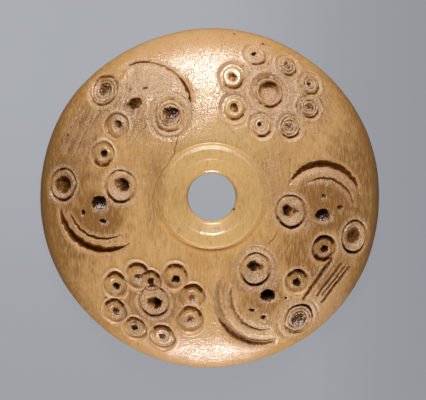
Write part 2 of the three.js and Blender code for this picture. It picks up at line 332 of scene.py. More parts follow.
# Straight cuts: ends as shares, half width and depth in millimetres, and how dark they are
SCORES = named("from to width depth dark", [
    ((0.722, -0.345), (0.54, -0.603), 0.36, 0.32, 1.2),
    ((0.776, -0.378), (0.62, -0.585), 0.28, 0.24, 1.05),
    ((0.8, -0.395), (0.652, -0.577), 0.22, 0.18, 1.0),
    ((0.822, -0.397), (0.648, -0.624), 0.3, 0.26, 1.15),
    ((-0.75, 0.534), (-0.878, 0.243), 0.3, 0.12, 0.7),
    ((-0.72, 0.52), (-0.835, 0.25), 0.7, 0.14, 0.7),
    ((-0.68, 0.5), (-0.79, 0.25), 0.25, 0.08, 0.69),
    ((-0.637, 0.51), (-0.72, 0.38), 0.28, 0.1, 0.7),
    ((-0.66, 0.37), (-0.74, 0.2), 0.3, 0.05, 0.6),
])
# Hairline cracks as lines through places, with how dark they are at each
CRACKS = [
    [
        (-0.189, 0.351, 0.9), (-0.209, 0.251, 1.0), (-0.277, 0.15, 0.8), (-0.313, 0.086, 0.5),
        (-0.342, -0.032, 0.4),
    ],
    [(-0.371, 0.422, 0.9), (-0.413, 0.38, 0.7), (-0.466, 0.292, 0.4)],
    [(0.393, -0.208, 0.7), (0.341, -0.273, 1.0)],
    [(0.493, -0.23, 0.5), (0.436, -0.325, 1.0)],
    [(0.4675, 0.226, 0.7), (0.4675, 0.165, 0.9), (0.462, 0.08, 0.5)],
    [(-0.1, -0.934, 0.5), (-0.045, -0.942, 0.7), (0.012, -0.932, 0.5)],
    [(0.012, 0.849, 0.4), (-0.014, 0.791, 0.6)],
    [(-0.055, -0.165, 0.35), (-0.06, -0.215, 0.45)],
    [(0.055, -0.18, 0.25), (0.05, -0.225, 0.3)],
    [(-0.33, -0.03, 0.4), (-0.3, -0.13, 0.3)],
]
CRACK_WIDTH = 0.08
CRACK_DEPTH = 0.06
# Dark specks: place, radius in millimetres
SPECKS = [
    ((0.307, 0.233), 0.11), ((0.33, 0.199), 0.09), ((-0.834, 0.366), 0.12), ((0.3125, 0.9), 0.13),
    ((-0.818, 0.415), 0.08), ((-0.802, 0.452), 0.07), ((0.296, 0.893), 0.07),
    ((0.1415, 0.961), 0.12), ((0.1385, -0.068), 0.11),
]
# Soft patches: place, half axes in millimetres, and how worn, browned and sunk the surface is
PATCHES = named("at axes worn brown sunk", [
    ((-0.36, 0.67), (4.8, 2.6), 0.5, 0.3, 0.1),
    ((-0.5, 0.5), (5.0, 4.4), 0.15, 0.7, 0.03),
    ((0.35, 0.62), (6.6, 5.8), 0.4, 0.35, 0.06),
    ((0.6, 0.58), (3.4, 4.8), 0.3, 0.45, 0),
    ((-0.34, -0.62), (6.0, 4.8), 0.12, 0.8, 0.06),
    ((0.56, -0.66), (2.8, 2.8), 0.35, 0.35, 0),
    # A paler band at the bottom rim: painted light where the low light falls.
    ((0.02, -0.97), (9.0, 2.4), 0.2, 0, 0),
    ((-0.67, -0.12), (4.6, 4.0), 0, 1.25, 0.05),
    # This wide brown patch at the west edge is painted shade.
    ((-1.0, -0.05), (9.5, 14.5), 0, 1.0, 0),
    ((-0.76, 0.36), (2.8, 5.6), 0.25, 0.75, 0.03),
    ((0.68, -0.06), (5.4, 5.2), 0.1, 1.2, 0.05),
    # This wide brown patch at the east edge is painted shade.
    ((0.95, 0.0), (7.5, 13.0), 0, 0.85, 0),
    ((0.62, -0.36), (5.8, 4.8), 0.1, 0.95, 0),
    ((0.3, -0.55), (4.4, 5.4), 0.12, 0.85, 0.04),
    ((0.56, -0.15), (1.6, 1.6), 0.4, 0.2, 0),
    ((0.38, -0.47), (1.4, 2.0), 0.4, 0.2, 0),
    ((0.15, -0.42), (1.4, 2.4), 0.2, 0.35, 0),
    ((0.08, -0.6), (1.8, 3.4), 0, 0.6, 0),
    ((0.36, 0.05), (2.6, 7.5), 0.22, 0.2, 0),
    ((-0.31, 0.02), (1.8, 6.5), 0.1, 0.5, 0),
])
# Soft patches of smooth bone, north of the collar, and of paler bone near the rim. The pale ones at the top and
# bottom of the dome also paint the highlights whiter where the two lights glint.
TONE_PATCHES = named("at axes wax pale", [
    ((0.12, 0.35), (7.5, 3.4), 0.6, 0),
    ((-0.12, 0.88), (11.0, 5.5), 0, 0.55),
    ((0.0, -0.95), (10.0, 4.0), 0, 0.55),
    ((0.72, -0.68), (3.5, 3.5), 0, 0.55),
])
# Layers that the wear lays down. The orange glow is painted light, and the stain, residue, brown, worn and pale
# layers also carry painted shade and light in places.
WEAR = ("residue", "worn", "stain", "grit", "amber", "wax", "brown", "pale", "crack", "split")


def step_up(value, low, high):
    """0 below low, 1 above high, and a smooth S between."""
    t = np.clip((value - low) / (high - low), 0, 1)
    return t * t * (3 - 2 * t)


def bell(off, width):
    """1 where off is 0, falling to 0.37 at the width."""
    return np.exp(-((off / width) ** 2))


def ripple(points, wavelength, seed, waves=10):
    """A sum of plane waves of about one wavelength in seeded directions, mostly within -1 and 1."""
    chance = np.random.default_rng(seed)
    direction = chance.normal(size=(waves, 3))
    direction /= np.linalg.norm(direction, axis=1)[:, None]
    pace = 2 * math.pi / (wavelength * chance.uniform(0.7, 1.4, waves))
    phase = chance.uniform(0, 2 * math.pi, waves)
    total = np.zeros(len(points))
    for way, rate, start in zip(direction, pace, phase):
        total += np.sin(points @ (way * rate) + start)
    return total / math.sqrt(waves * 1.3)


def wobble(points, wavelength, seed):
    """How far a hand-cut edge strays, in millimetres, the same at every depth of a cut."""
    flat = points * (1, 1, 0)
    return 0.05 * ripple(flat, wavelength, seed) + 0.035 * ripple(flat, 0.4, seed + 1)


def mean_weights(reach, step, softness):
    """Weights of a bell-shaped mean over even steps."""
    weights = np.exp(-0.5 * (np.arange(-reach, reach + 1) * step / softness) ** 2)
    return weights / weights.sum()


def rounded(section, softness, step=0.01):
    """A section of straight runs as even samples, with its corners rounded by a bell-shaped mean."""
    place, value = np.array(section, float).T
    at = np.arange(0, place[-1] + step, step)
    reach = math.ceil(3 * softness / step)
    straight = np.interp(np.abs(np.arange(-reach, len(at) + reach)) * step, place, value)
    return at, np.convolve(straight, mean_weights(reach, step, softness), mode="valid")[: len(at)]


class Blank:
    """The turned form in millimetres, from the sizes that a user can change."""

    def __init__(self, form):
        for name in form.__annotations__:
            if name not in UNITLESS:
                setattr(self, name, getattr(form, name) / MM)
        self.fullness = form.dome_fullness
        self.face_inner = self.bore_radius + self.lip_round + self.funnel_width
        self.face_outer = self.face_inner + self.collar_face
        self.foot = self.face_outer + self.collar_wall
        self.foot_level = float(self.height(self.foot + math.hypot(*BORE_OFFSET)))
        self.face_level = self.foot_level + self.collar_height
        self.lip_level = self.face_level - self.funnel_depth

    def height(self, distance):
        """The dome's height: rim height plus rise times the root of 1 - (distance / radius) ^ fullness."""
        part = np.clip(np.asarray(distance) / self.disc_radius, 0, 1)
        return self.rim_height + self.dome_rise * np.sqrt(1 - part**self.fullness)

    def fall(self, distance):
        """How steeply the dome falls at a distance from the axis."""
        step = 1e-3
        near = np.minimum(distance, self.disc_radius * 0.995)
        return (self.height(near - step) - self.height(near + step)) / (2 * step)

    def wander_scale(self, bearing):
        """How much further out than its mean the outline lies at a bearing."""
        total = 0
        for lobes, high, first in OUTLINE_WANDER:
            total = total + high * np.cos(lobes * (bearing - math.radians(first)))
        return 1 + total / self.disc_radius

    def outward(self, place):
        """The dome's outward direction over places that start with east and north in millimetres."""
        distance = np.maximum(np.hypot(place[..., 0], place[..., 1]), 1e-6)
        lean = self.fall(distance) / distance
        way = np.stack([place[..., 0] * lean, place[..., 1] * lean, np.ones_like(distance)], -1)
        return way / np.linalg.norm(way, axis=-1, keepdims=True)

    def stand(self, place):
        """Where a bit stands: the point on the dome and its east, grain and outward directions there."""
        spot = np.array(place) * self.disc_radius
        point = np.array([*spot, float(self.height(np.hypot(*spot)))])
        out = self.outward(spot)
        east = np.cross([0, 1, 0], out)
        east /= np.linalg.norm(east)
        return point, east, np.cross(out, east), out


def profile(blank, coarse):
    """The closed section of the blank as radius, height and pull towards the bore's axis.

    A corner is a radius, a height and the spacing of the points there. Corners are rounded by a bell-shaped
    mean along the section, which is then cut into steps as fine as each stretch needs.
    """
    b = blank
    wall = b.collar_wall
    mouth = b.bore_radius + b.bore_flare
    turned = [
        (mouth, 0, 0.5),
        (b.bore_radius, b.lip_level - b.lip_round * 2.4, 0.3),
        (b.bore_radius + b.lip_round * 0.2, b.lip_level - b.lip_round * 1.2, 0.06),
        (b.bore_radius + b.lip_round * 0.65, b.lip_level - b.lip_round * 0.55, 0.05),
        (b.bore_radius + b.lip_round * 1.3, b.lip_level, 0.05),
        (b.face_inner - 0.12, b.face_level - b.funnel_step, 0.05),
        (b.face_inner - 0.04, b.face_level - 0.05, 0.04),
        (b.face_inner + 0.05, b.face_level, 0.04),
        (b.face_outer - 0.1, b.face_level, 0.06),
        (b.face_outer + wall * 0.13, b.face_level - b.collar_height * 0.09, 0.05),
        (b.face_outer + wall * 0.4, b.face_level - b.collar_height * 0.42, 0.05),
        (b.face_outer + wall * 0.7, b.face_level - b.collar_height * 0.72, 0.05),
        (b.foot + 0.02, b.foot_level - 0.02, 0.05),
    ]
    away = b.disc_radius * np.cos(np.linspace(math.acos((b.foot + 0.3) / b.disc_radius), 0, 400))
    dome = np.stack([away, b.height(away), np.full(len(away), 0.07)], -1)
    turn = np.linspace(math.pi / 2, 0, 16)[1:]
    edge = [b.disc_radius - b.edge_round * (1 - np.sin(turn)), b.rim_height * (1 - np.cos(turn))]
    edge = np.stack([*edge, np.full(len(turn), 0.14)], -1)
    under = [(mouth + 0.3, 0, 0.6), (mouth, 0, 0.5)]
    radius, height, pace = np.concatenate([turned, dome, edge, under]).T

    step = 0.02
    along = np.concatenate([[0], np.cumsum(np.hypot(np.diff(radius), np.diff(height)))])
    fine = np.linspace(0, along[-1], int(along[-1] / step))
    reach = int(3 * b.edge_wear / step)
    weights = mean_weights(reach, step, b.edge_wear)
    spacing = np.interp(fine, along, pace) * coarse
    count = np.concatenate([[0], np.cumsum(np.diff(fine) / spacing[1:])])
    at = np.interp(np.linspace(0, count[-1], int(count[-1]) + 1)[:-1], count, fine)
    worn = []
    for value in (radius, height):
        value = np.interp(fine, along, value)
        value = np.concatenate([value[-reach - 1 : -1], value, value[1 : reach + 1]])
        worn.append(np.interp(at, fine, np.convolve(value, weights, mode="valid")))
    return *worn, 1 - step_up(worn[0], b.foot, b.disc_radius * 0.8)


def slope_shift(blank, radius, height, bearing):
    """How far out the collar's slope is shifted.

    It starts further in to the north and ends sooner to the south.
    """
    b = blank
    upper = height > b.lip_level * 0.8
    slope = (b.face_inner + 0.2, b.face_outer, b.face_outer + b.collar_wall * 0.4)
    starts = (np.interp(radius, slope, (0, 1, 0)) * upper)[:, None]
    ends = (np.interp(radius, (b.face_outer, b.foot, b.foot + 1.5), (0, 1, 0)) * upper)[:, None]
    north = np.sin(bearing)
    inward = starts * np.maximum(north, 0) * 0.3
    inward -= ends * (1 - north**2) * 0.35
    inward += ends * np.where(north > 0, 0.2, 0.5) * np.abs(north)
    return -inward


def blank_points(blank, steps_round, coarse):
    """The blank's surface on a grid: one row for each step of the profile, one column for each bearing.

    Rows near the bore are round the bore's axis and rows near the rim round the disc's, and the dome's rows
    take their height from the dome, so that it stays true under the shift.
    """
    radius, height, pull = profile(blank, coarse)
    bearing = np.linspace(0, 2 * math.pi, steps_round, endpoint=False)
    scale = 1 + (blank.wander_scale(bearing)[None, :] - 1) * (1 - pull)[:, None]
    away = (radius[:, None] + slope_shift(blank, radius, height, bearing)) * scale
    east = away * np.cos(bearing) + BORE_OFFSET[0] * pull[:, None]
    north = away * np.sin(bearing) + BORE_OFFSET[1] * pull[:, None]
    level = np.repeat(height[:, None], steps_round, 1)
    on_dome = (radius > blank.foot) & (height > blank.rim_height)
    centred = np.hypot(east, north) / scale
    shift = blank.height(centred[on_dome]) - blank.height(radius[on_dome])[:, None]
    fade = step_up(radius[on_dome], blank.foot, blank.foot + 0.6)[:, None]
    level[on_dome] += shift * fade
    return np.stack([east, north, level], -1).reshape(-1, 3), len(radius)


def grid_faces(rows, columns):
    """Quads of a grid that closes on itself both ways, as indices of its points."""
    here = np.arange(rows * columns).reshape(rows, columns)
    up = np.roll(here, -1, 0)
    return np.stack([here, np.roll(here, -1, 1), np.roll(up, -1, 1), up], -1).reshape(-1, 4)


def in_reach(points, centre, reach):
    """Which points of the upper side lie within a box round a centre."""
    return np.flatnonzero((np.abs(points[:, :2] - centre[:2]) < reach).all(1) & (points[:, 2] > 0.4))


def ring_offsets(points, mark, blank):
    """Each near point's distance from a ringed mark's axis, as the bit that cut it measures, its height over
    the dome, the dome's outward direction and its bearing."""
    point, east, grain, out = blank.stand(mark["at"])
    reach = mark["bit"][-1][0] * mark["size"] * 1.2
    if mark["halo"]:
        reach = max(reach, mark["halo"][-1][0] * 1.1)
    near = in_reach(points, point, reach)
    local = points[near] - point
    across = local @ east
    along = local @ grain / GRAIN_STRETCH
    bearing = np.arctan2(along, across)
    number = mark["number"]
    uneven = 1 + 0.018 * np.sin(2 * bearing + number * 1.7) + 0.012 * np.sin(5 * bearing + number * 2.9)
    stray = (0.3 if mark["rough"] >= 0 else 0.08) * wobble(points[near], 1.3, 21)
    return near, np.hypot(across, along) * uneven + stray, local @ out, out, bearing


def groove_shade(near_points, mark, bearing):
    """How deep and dark a ringed mark's groove is at each bearing, mostly between 0 and 1.2. The darkness is
    partly stains and partly painted shade, strongest at the bearing given as darkest, otherwise to the north and
    south.
    """
    if mark["darkest"] is None:
        shade = np.abs(np.sin(bearing))
    else:
        both = 0 if mark["bit"] in (SUNK_RING, PROUD_RING) else 0.5
        toward = np.maximum(np.cos(bearing - math.radians(mark["darkest"])), 0)
        shade = both * np.abs(np.sin(bearing)) + (1.1 - both) * toward
    return (0.12 + shade) * (1 + 0.4 * ripple(near_points, 0.9, 71))


def groove_edge(mark):
    """The radius of the bottom of a ringed mark's groove, before the mark's size."""
    return max(mark["bit"], key=lambda step: step[1] * (step[0] > 1.3))[0] - 0.03


def tool_marks(mark, radius, bearing):
    """The rings that a rough bit leaves on a ringed mark's floor, from -1 to 1."""
    swirl = bearing if mark["rough"] > 0.7 else 0
    rings = np.sin(radius * 2 * math.pi / 0.45 + swirl + mark["number"])
    return rings * (radius < mark["bit"][4][0] * mark["size"])


def pit_offsets(points, mark, hole, blank):
    """Each near point's distance from a pit's axis and how far east and north it lies, as shares of the pit's
    radius, then its height over the dome and the dome's outward direction."""
    point, east, grain, out = blank.stand(mark["at"])
    centre = point + east * hole["off"][0] + grain * hole["off"][1]
    size = hole["radius"]
    near = in_reach(points, centre, size * hole["wide"] * 1.6)
    local = points[near] - centre
    across = local @ east
    along = local @ grain / GRAIN_STRETCH
    turn = math.radians(hole["turn"])
    long_way = (across * math.cos(turn) + along * math.sin(turn)) / (size * hole["wide"])
    short_way = (along * math.cos(turn) - across * math.sin(turn)) / size
    bearing = np.arctan2(short_way, long_way)
    number = mark["number"]
    uneven = 1 + 0.05 * np.sin(2 * bearing + number * 2.3) + 0.03 * np.sin(3 * bearing + number * 1.1)
    stray = (1.3 if hole["dark"] > 0.1 else 0.4) * wobble(points[near], 0.7, 81)
    radius = np.hypot(long_way, short_way) * uneven + stray / max(size, 0.4)
    return near, radius, across / size, along / size, local @ out, out


def arc_offsets(points, arc, blank):
    """Each near point's distance out from an arc's line, the groove's swell at its bearing, and the dome's
    outward direction.

    The distance is measured along the slope of the dome, and the swell is a power of a half sine wave.
    """
    centre = np.array(arc["centre"]) * blank.disc_radius
    near = in_reach(points, centre, arc["radius"] + 1.6)
    local = points[near, :2] - centre
    distance = np.hypot(local[:, 0], local[:, 1])
    bearing = (np.degrees(np.arctan2(local[:, 1], local[:, 0])) - arc["from"]) % 360
    way = local / np.maximum(distance, 1e-6)[:, None]
    out = blank.outward(points[near])
    lean = (out[:, 0] * way[:, 0] + out[:, 1] * way[:, 1]) / out[:, 2]
    off = (distance - arc["radius"]) * np.sqrt(1 + lean**2) + 1.2 * wobble(points[near], 1.1, 31)
    part = bearing / (arc["to"] - arc["from"])
    swell = np.maximum(np.sin(math.pi * np.clip(part, 0, 1)), 0) ** 0.7 * (part <= 1)
    return near, off, swell, out


def arc_width(arc, off, swell):
    """The groove's half width on the side where each point lies."""
    return np.where(off < 0, arc["inner"], arc["outer"]) * np.maximum(swell, 1e-3)


def line_offsets(points, start, end, blank, reach):
    """Each near point's distance from a straight line between two places, its share of the way along, and the
    dome's outward direction."""
    start = np.array(start) * blank.disc_radius
    end = np.array(end) * blank.disc_radius
    run = end - start
    size = np.hypot(*run)
    near = in_reach(points, (start + end) / 2, size / 2 + reach)
    local = points[near, :2] - start
    side = np.array([-run[1], run[0]]) / size
    out = blank.outward(points[near])
    lean = (out[:, :2] @ side) / out[:, 2]
    return near, local @ side * np.sqrt(1 + lean**2), local @ run / size**2, out


def score_offsets(points, score, blank):
    """Each near point's distance from a straight cut that strays by hand, and the rest of line_offsets."""
    near, off, part, out = line_offsets(points, score["from"], score["to"], blank, 1.0)
    return near, off + wobble(points[near], 1.3, 41), part, out


def crack_offsets(points, blank):
    """For each stretch of each crack, the near points, how far they lie off it to one side, how dark it is
    and the dome's outward direction."""
    for line in CRACKS:
        for start, end in zip(line, line[1:]):
            near, off, part, out = line_offsets(points, start[:2], end[:2], blank, 0.6)
            off = off + 0.05 * ripple(points[near], 0.9, 51)
            ends = step_up(part, -0.06, 0.02) * (1 - step_up(part, 0.98, 1.06))
            yield near, off, ends * (start[2] + (end[2] - start[2]) * np.clip(part, 0, 1)), out


def patch_share(points, patch, blank):
    """How far inside a soft-edged patch each near point is, from 0 to 1."""
    centre = np.array(patch["at"]) * blank.disc_radius
    near = in_reach(points, centre, max(patch["axes"]) * 1.5)
    local = (points[near, :2] - centre) / patch["axes"]
    ragged = 0.12 * ripple(points[near], 1.8, 61)
    return near, 1 - step_up(np.hypot(local[:, 0], local[:, 1]) + ragged, 0.45, 1.2)


def press(points, near, out, depth):
    """Moves the near points in by a depth, against the dome's outward direction."""
    points[near] -= out * depth[:, None]


def cut_ring(points, mark, blank, depth):
    """Cuts a ringed mark. A point above the bit's section is pressed down onto it."""
    near, radius, high, out, bearing = ring_offsets(points, mark, blank)
    at, section = rounded(mark["bit"], RING_SOFTNESS)
    shoulder = groove_edge(mark) - 0.35
    limit = max(np.interp(shoulder, at, section), section[at > 1.3].max() * 0.5)
    shallow = np.where(at > shoulder, np.minimum(section, limit), section)
    shade = np.clip(groove_shade(points[near], mark, bearing), 0, 1)
    cut = np.interp(radius / mark["size"], at, section, right=-9) * shade
    cut += np.interp(radius / mark["size"], at, shallow, right=-9) * (1 - shade)
    tool = (0.01 + 0.06 * max(mark["rough"], 0)) * tool_marks(mark, radius, bearing)
    drop = np.maximum(cut * depth + tool + high, 0) * (cut > 0.04)
    if mark["halo"]:
        halo = np.interp(radius, *rounded(mark["halo"], HALO_SOFTNESS), right=-9)
        drop = np.maximum(drop, np.maximum(halo * depth + high, 0) * (halo > 0.005))
    press(points, near, out, drop)


def cut_pit(points, mark, hole, blank, depth):
    """Cuts a pit, as a ringed mark is cut."""
    near, radius, side, up, high, out = pit_offsets(points, mark, hole, blank)
    cut = np.interp(radius, *rounded(hole["section"], PIT_SOFTNESS), right=-9) * hole["depth"]
    press(points, near, out, np.maximum(cut * depth + high, 0) * (cut > 0.001))


def carve(points, blank, depth):
    """Wears the surface and cuts every mark into it, in place."""
    near = np.flatnonzero(points[:, 2] > blank.rim_height * 0.8)
    sway = ripple(points[near], 7.0, 11) * 0.6 + ripple(points[near], 2.2, 12) * 0.3
    press(points, near, blank.outward(points[near]), -sway * blank.wander)
    for patch in PATCHES:
        near, inside = patch_share(points, patch, blank)
        press(points, near, blank.outward(points[near]), inside * patch["sunk"] * depth)
    lift = np.zeros(len(points))
    rings = [mark for mark in MARKS if mark["bit"]]
    for mark in rings:
        near, radius = ring_offsets(points, mark, blank)[:2]
        crest = mark["bit"][-2][0] * mark["size"]
        rim = np.where(radius < crest, 1, bell(radius - crest, 0.16))
        lift[near] = np.maximum(lift[near], rim * mark["rim"] * depth)
    near = np.flatnonzero(lift > 0.001)
    press(points, near, blank.outward(points[near]), -lift[near])
    for mark in MARKS:
        if mark["bit"]:
            cut_ring(points, mark, blank, depth)
        for hole in mark["pits"]:
            cut_pit(points, mark, hole, blank, depth)
    for arc in CRESCENTS:
        near, off, swell, out = arc_offsets(points, arc, blank)
        wall = np.maximum(1 - (np.abs(off) / arc_width(arc, off, swell)) ** 1.25, 0)
        press(points, near, out, wall * swell * arc["depth"] * depth)
    for score in SCORES:
        near, off, part, out = score_offsets(points, score, blank)
        swell = np.sqrt(np.maximum(np.sin(math.pi * np.clip(part, 0, 1)), 0))
        wall = np.maximum(1 - (np.abs(off) / score["width"]) ** 1.3, 0)
        press(points, near, out, wall * swell * score["depth"] * depth)
    for near, off, shown, out in crack_offsets(points, blank):
        press(points, near, out, np.maximum(1 - np.abs(off) / CRACK_WIDTH, 0) * shown * CRACK_DEPTH)


class Wear(dict):
    """What the finish needs to know at each point, by name: amounts from 0 up, and the distance off a crack."""

    def lay(self, near, **amounts):
        """Raises named amounts at the near points, where they are lower."""
        for name, amount in amounts.items():
            self[name][near] = np.maximum(self[name][near], amount)


def wear_form(wear, points, blank):
    """The wear of the turned form: the collar's edges, slope and foot, and the rim. It lays painted light and
    shade: an orange glow on the rim, brown shade on the rim's east and west sides, shade with an orange glow
    round the collar's foot and in the band below its south slope, and pale lines on the collar's edge and step to
    the north and south that are partly wear and partly painted highlight. The collar is also a little browner to
    the east and west.
    """
    distance = np.hypot(points[:, 0], points[:, 1])
    bore = np.hypot(points[:, 0] - BORE_OFFSET[0], points[:, 1] - BORE_OFFSET[1])
    top = points[:, 2] > 1
    rim = step_up(distance, blank.disc_radius * 0.86, blank.disc_radius)
    # the rim's east and west sides, for brown painted shade
    sides = np.abs(points[:, 0] / blank.disc_radius) ** 4
    north = (points[:, 1] - BORE_OFFSET[1]) / np.maximum(bore, 0.1)
    collar = (1 - step_up(bore, blank.foot - 0.1, blank.foot + 0.6)) * top
    # painted shade round the collar's foot
    foot = bell(bore - blank.foot + 0.05 + 0.2 * np.abs(north), 0.2) * top
    # painted shade with an orange glow below the collar's steep south slope
    shaded_band = bell(bore - blank.foot + 0.2, 0.34) * top * np.maximum(-north, 0) ** 0.7
    edge = bell(bore - blank.face_outer, 0.11)
    step = bell(bore - blank.face_inner + 0.03, 0.06)
    wear.lay(
        slice(None),
        wax=collar * (0.6 + 0.4 * np.abs(north)),
        # painted orange glow at the rim and in that shaded band
        amber=np.maximum(rim * 0.3, shaded_band * 1.3),
        # painted shade in brown on the rim's east and west sides and in the band
        brown=np.maximum(np.maximum(2.2 * rim**1.5 * sides, collar * 0.2 * (1 - north**2)), shaded_band * 0.22),
        stain=np.maximum(foot * 0.06, shaded_band * 0.3),
        # pale lines where the lights glint on the collar's edge and step: partly wear, partly painted highlight
        worn=np.maximum(edge * 0.85, step * 0.75) * top * np.abs(north),
    )


def wear_ring(wear, points, mark, blank):
    """The wear of a ringed mark: its groove, its floor and the bevel and halo round it. The groove holds stains
    and painted shade, darkest at its shaded bearings; the north of the floor, the arc inside a sunk ring's north
    wall and the arc outside its south rim are painted shade; the orange in a polished ring's groove is painted
    glow; and the south of the floor is painted paler as light.
    """
    near, radius, high, out, bearing = ring_offsets(points, mark, blank)
    rough = max(mark["rough"], 0)
    swirls = np.maximum(tool_marks(mark, radius, bearing), 0) * (1 + 0.6 * ripple(points[near], 1.0, 73))
    radius = radius / mark["size"]
    sunk = mark["bit"] is SUNK_RING
    edge = groove_edge(mark)
    shade = groove_shade(points[near], mark, bearing)
    groove = bell(radius - edge, 0.17) * shade
    start = edge + (0.18 if sunk else 0.12)
    bevel = step_up(radius, start, start + 0.1) * (1 - step_up(radius, start + 0.35, start + 0.7))
    floor = 1 - step_up(radius, edge - 0.4, edge)
    south = np.maximum(-np.sin(bearing), 0)
    wear.lay(near, stain=swirls * 0.72 * rough, grit=floor * 0.3 * rough)
    # stains and painted shade in the groove, by bearing
    wear.lay(near, stain=groove * mark["stain"] * 1.1, residue=groove * max(mark["stain"] - 0.4, 0))
    # painted shade on the north of the floor
    wear.lay(near, stain=floor * 0.25 * np.maximum(np.sin(bearing), 0))
    if sunk:
        # painted shade: a dark arc inside the sunk ring's north wall, and an orange-brown arc outside its south
        # rim
        above = bell(radius - edge + 0.02, 0.3) * step_up(shade, 0.3, 0.9)
        below = bell(radius - edge - 0.5, 0.13) * south
        wear.lay(near, residue=above * max(mark["stain"] - 0.35, 0))
        wear.lay(near, stain=above * min(0.2 + 1.3 * mark["stain"], 1))
        wear.lay(near, stain=np.maximum(floor * 0.2, below * 0.5), amber=below, wax=bevel * 0.8)
    if mark["bit"] is PROUD_RING:
        wear.lay(near, stain=bell(radius - 1.9, 0.1) * (1 + ripple(points[near], 1.2, 72)) * 0.3)
    if mark["rough"] < 0:
        wear["worn"][near] *= 1 - 0.85 * floor
        # the orange in the groove is painted glow
        wear.lay(near, wax=floor * 0.8, amber=groove)
    else:
        # the south of the floor is painted paler as light
        wear.lay(near, worn=floor * ((0.12 if sunk else 0.42) * (1 - 0.4 * mark["rough"]) + 0.3 * south))
    wear.lay(near, worn=bevel * 0.5)
    if mark["halo"]:
        cut = step_up(np.interp(radius * mark["size"], *np.array(mark["halo"]).T), 0.01, 0.1)
        wear.lay(near, worn=cut * 0.32, brown=cut * 0.5)


def wear_pit(wear, points, mark, hole, blank):
    """The wear of a pit: residue and grit inside, painted shade with an orange glow on the north wall, painted
    orange light on its lit side where residue and stains thin out, and a south lip that is partly worn and partly
    painted light.
    """
    near, radius, side, up = pit_offsets(points, mark, hole, blank)[:4]
    dark = hole["dark"]
    filled = dark > 0.1
    inside = 1 - step_up(radius, 0.78, 1.1)
    # the lit side: painted orange light
    lit = step_up(-side * np.sign(hole["warm"]), -0.15, 0.6) * abs(hole["warm"])
    south = step_up(0.3 * side - 0.9 * up, -0.4, 0.75)
    # painted shade on the north wall, which faces away from the upper light
    shaded_north_wall = step_up(up, 0.25, 0.75) * (1 - step_up(radius, 0.9, 1.1))
    # the south lip, paler as painted light as well as wear
    lip = step_up(radius, 1.02, 1.15) * (1 - step_up(radius, 1.2, 1.6)) * south
    wear.lay(
        near,
        residue=inside * (1.1 * dark - 0.35) * (1 - 0.9 * lit),
        stain=(1 - step_up(radius, 0.85, 1.2)) * (0.3 + 0.6 * dark) * (1 - 0.55 * lit),
        grit=(1 - step_up(radius, 0.85, 1.25)) * hole["grit"] * south,
        amber=shaded_north_wall * (abs(hole["warm"]) if filled else 1.3),
        worn=np.maximum(inside * max(0.5 - dark, 0), lip * 0.9),
    )
    wear.lay(
        near,
        stain=shaded_north_wall * (0.7 if filled else 0.8) * (1 - 0.6 * lit),
        amber=(1 - step_up(radius, 0.9, 1.2)) * lit,
    )


def wear_arc(wear, points, arc, blank):
    """The wear of a crescent: residue and stains at its bottom, and on its shaded side when it has one, where
    they are partly painted shade; a fringe of painted orange glow and brown; the wall on the other side painted
    paler as light; and worn lips.
    """
    near, off, swell, out = arc_offsets(points, arc, blank)
    wide = arc_width(arc, off, swell)
    shown = step_up(swell, 0.1, 0.6)
    toward = off * arc["side"]
    # the shaded wall's residue and stains are partly painted shade
    if arc["side"]:
        stained_and_shaded = step_up(toward, -0.18, 0.06) * (1 - step_up(toward, wide * 0.75, wide * 1.15)) * shown
    else:
        stained_and_shaded = bell(off, wide * 0.75) * shown
    lips = bell(np.abs(off) - wide - 0.15, 0.3) * step_up(swell, 0.05, 0.4)
    # the wall on the other side, which faces the light, is painted paler as light
    lit_wall = (toward < -0.15) * (np.abs(off) < wide)
    outside = off if arc["side"] >= 0 else np.abs(off)
    fringe = bell(outside - wide, 0.2) * shown * step_up(arc["dark"], 0.45, 0.95)
    wear.lay(
        near,
        amber=fringe,
        brown=fringe * 0.75,
        stain=stained_and_shaded * min(arc["dark"], 1),
        residue=stained_and_shaded * max(arc["dark"] - 0.58, 0),
        worn=np.maximum(lips * (0.3 + 0.3 * arc["dark"]), lit_wall * 0.6 * shown * abs(arc["side"])),
    )


def wear_score(wear, points, score, blank):
    """The wear of a straight cut: a dark bottom and worn lips."""
    near, off, part, out = score_offsets(points, score, blank)
    dark = score["dark"]
    inside = step_up(part, -0.04, 0.08) * (1 - step_up(part, 0.92, 1.04))
    bottom = bell(off, score["width"] * 0.7) * inside
    lips = bell(np.abs(off) - score["width"] - 0.12, 0.15) * inside
    wear.lay(
        near,
        brown=bottom * 0.8,
        stain=bottom * min(dark, 1) * (1 if dark > 0.7 else 0.6),
        residue=bottom * max(dark - 0.72, 0),
        worn=lips * 0.6 * dark,
    )


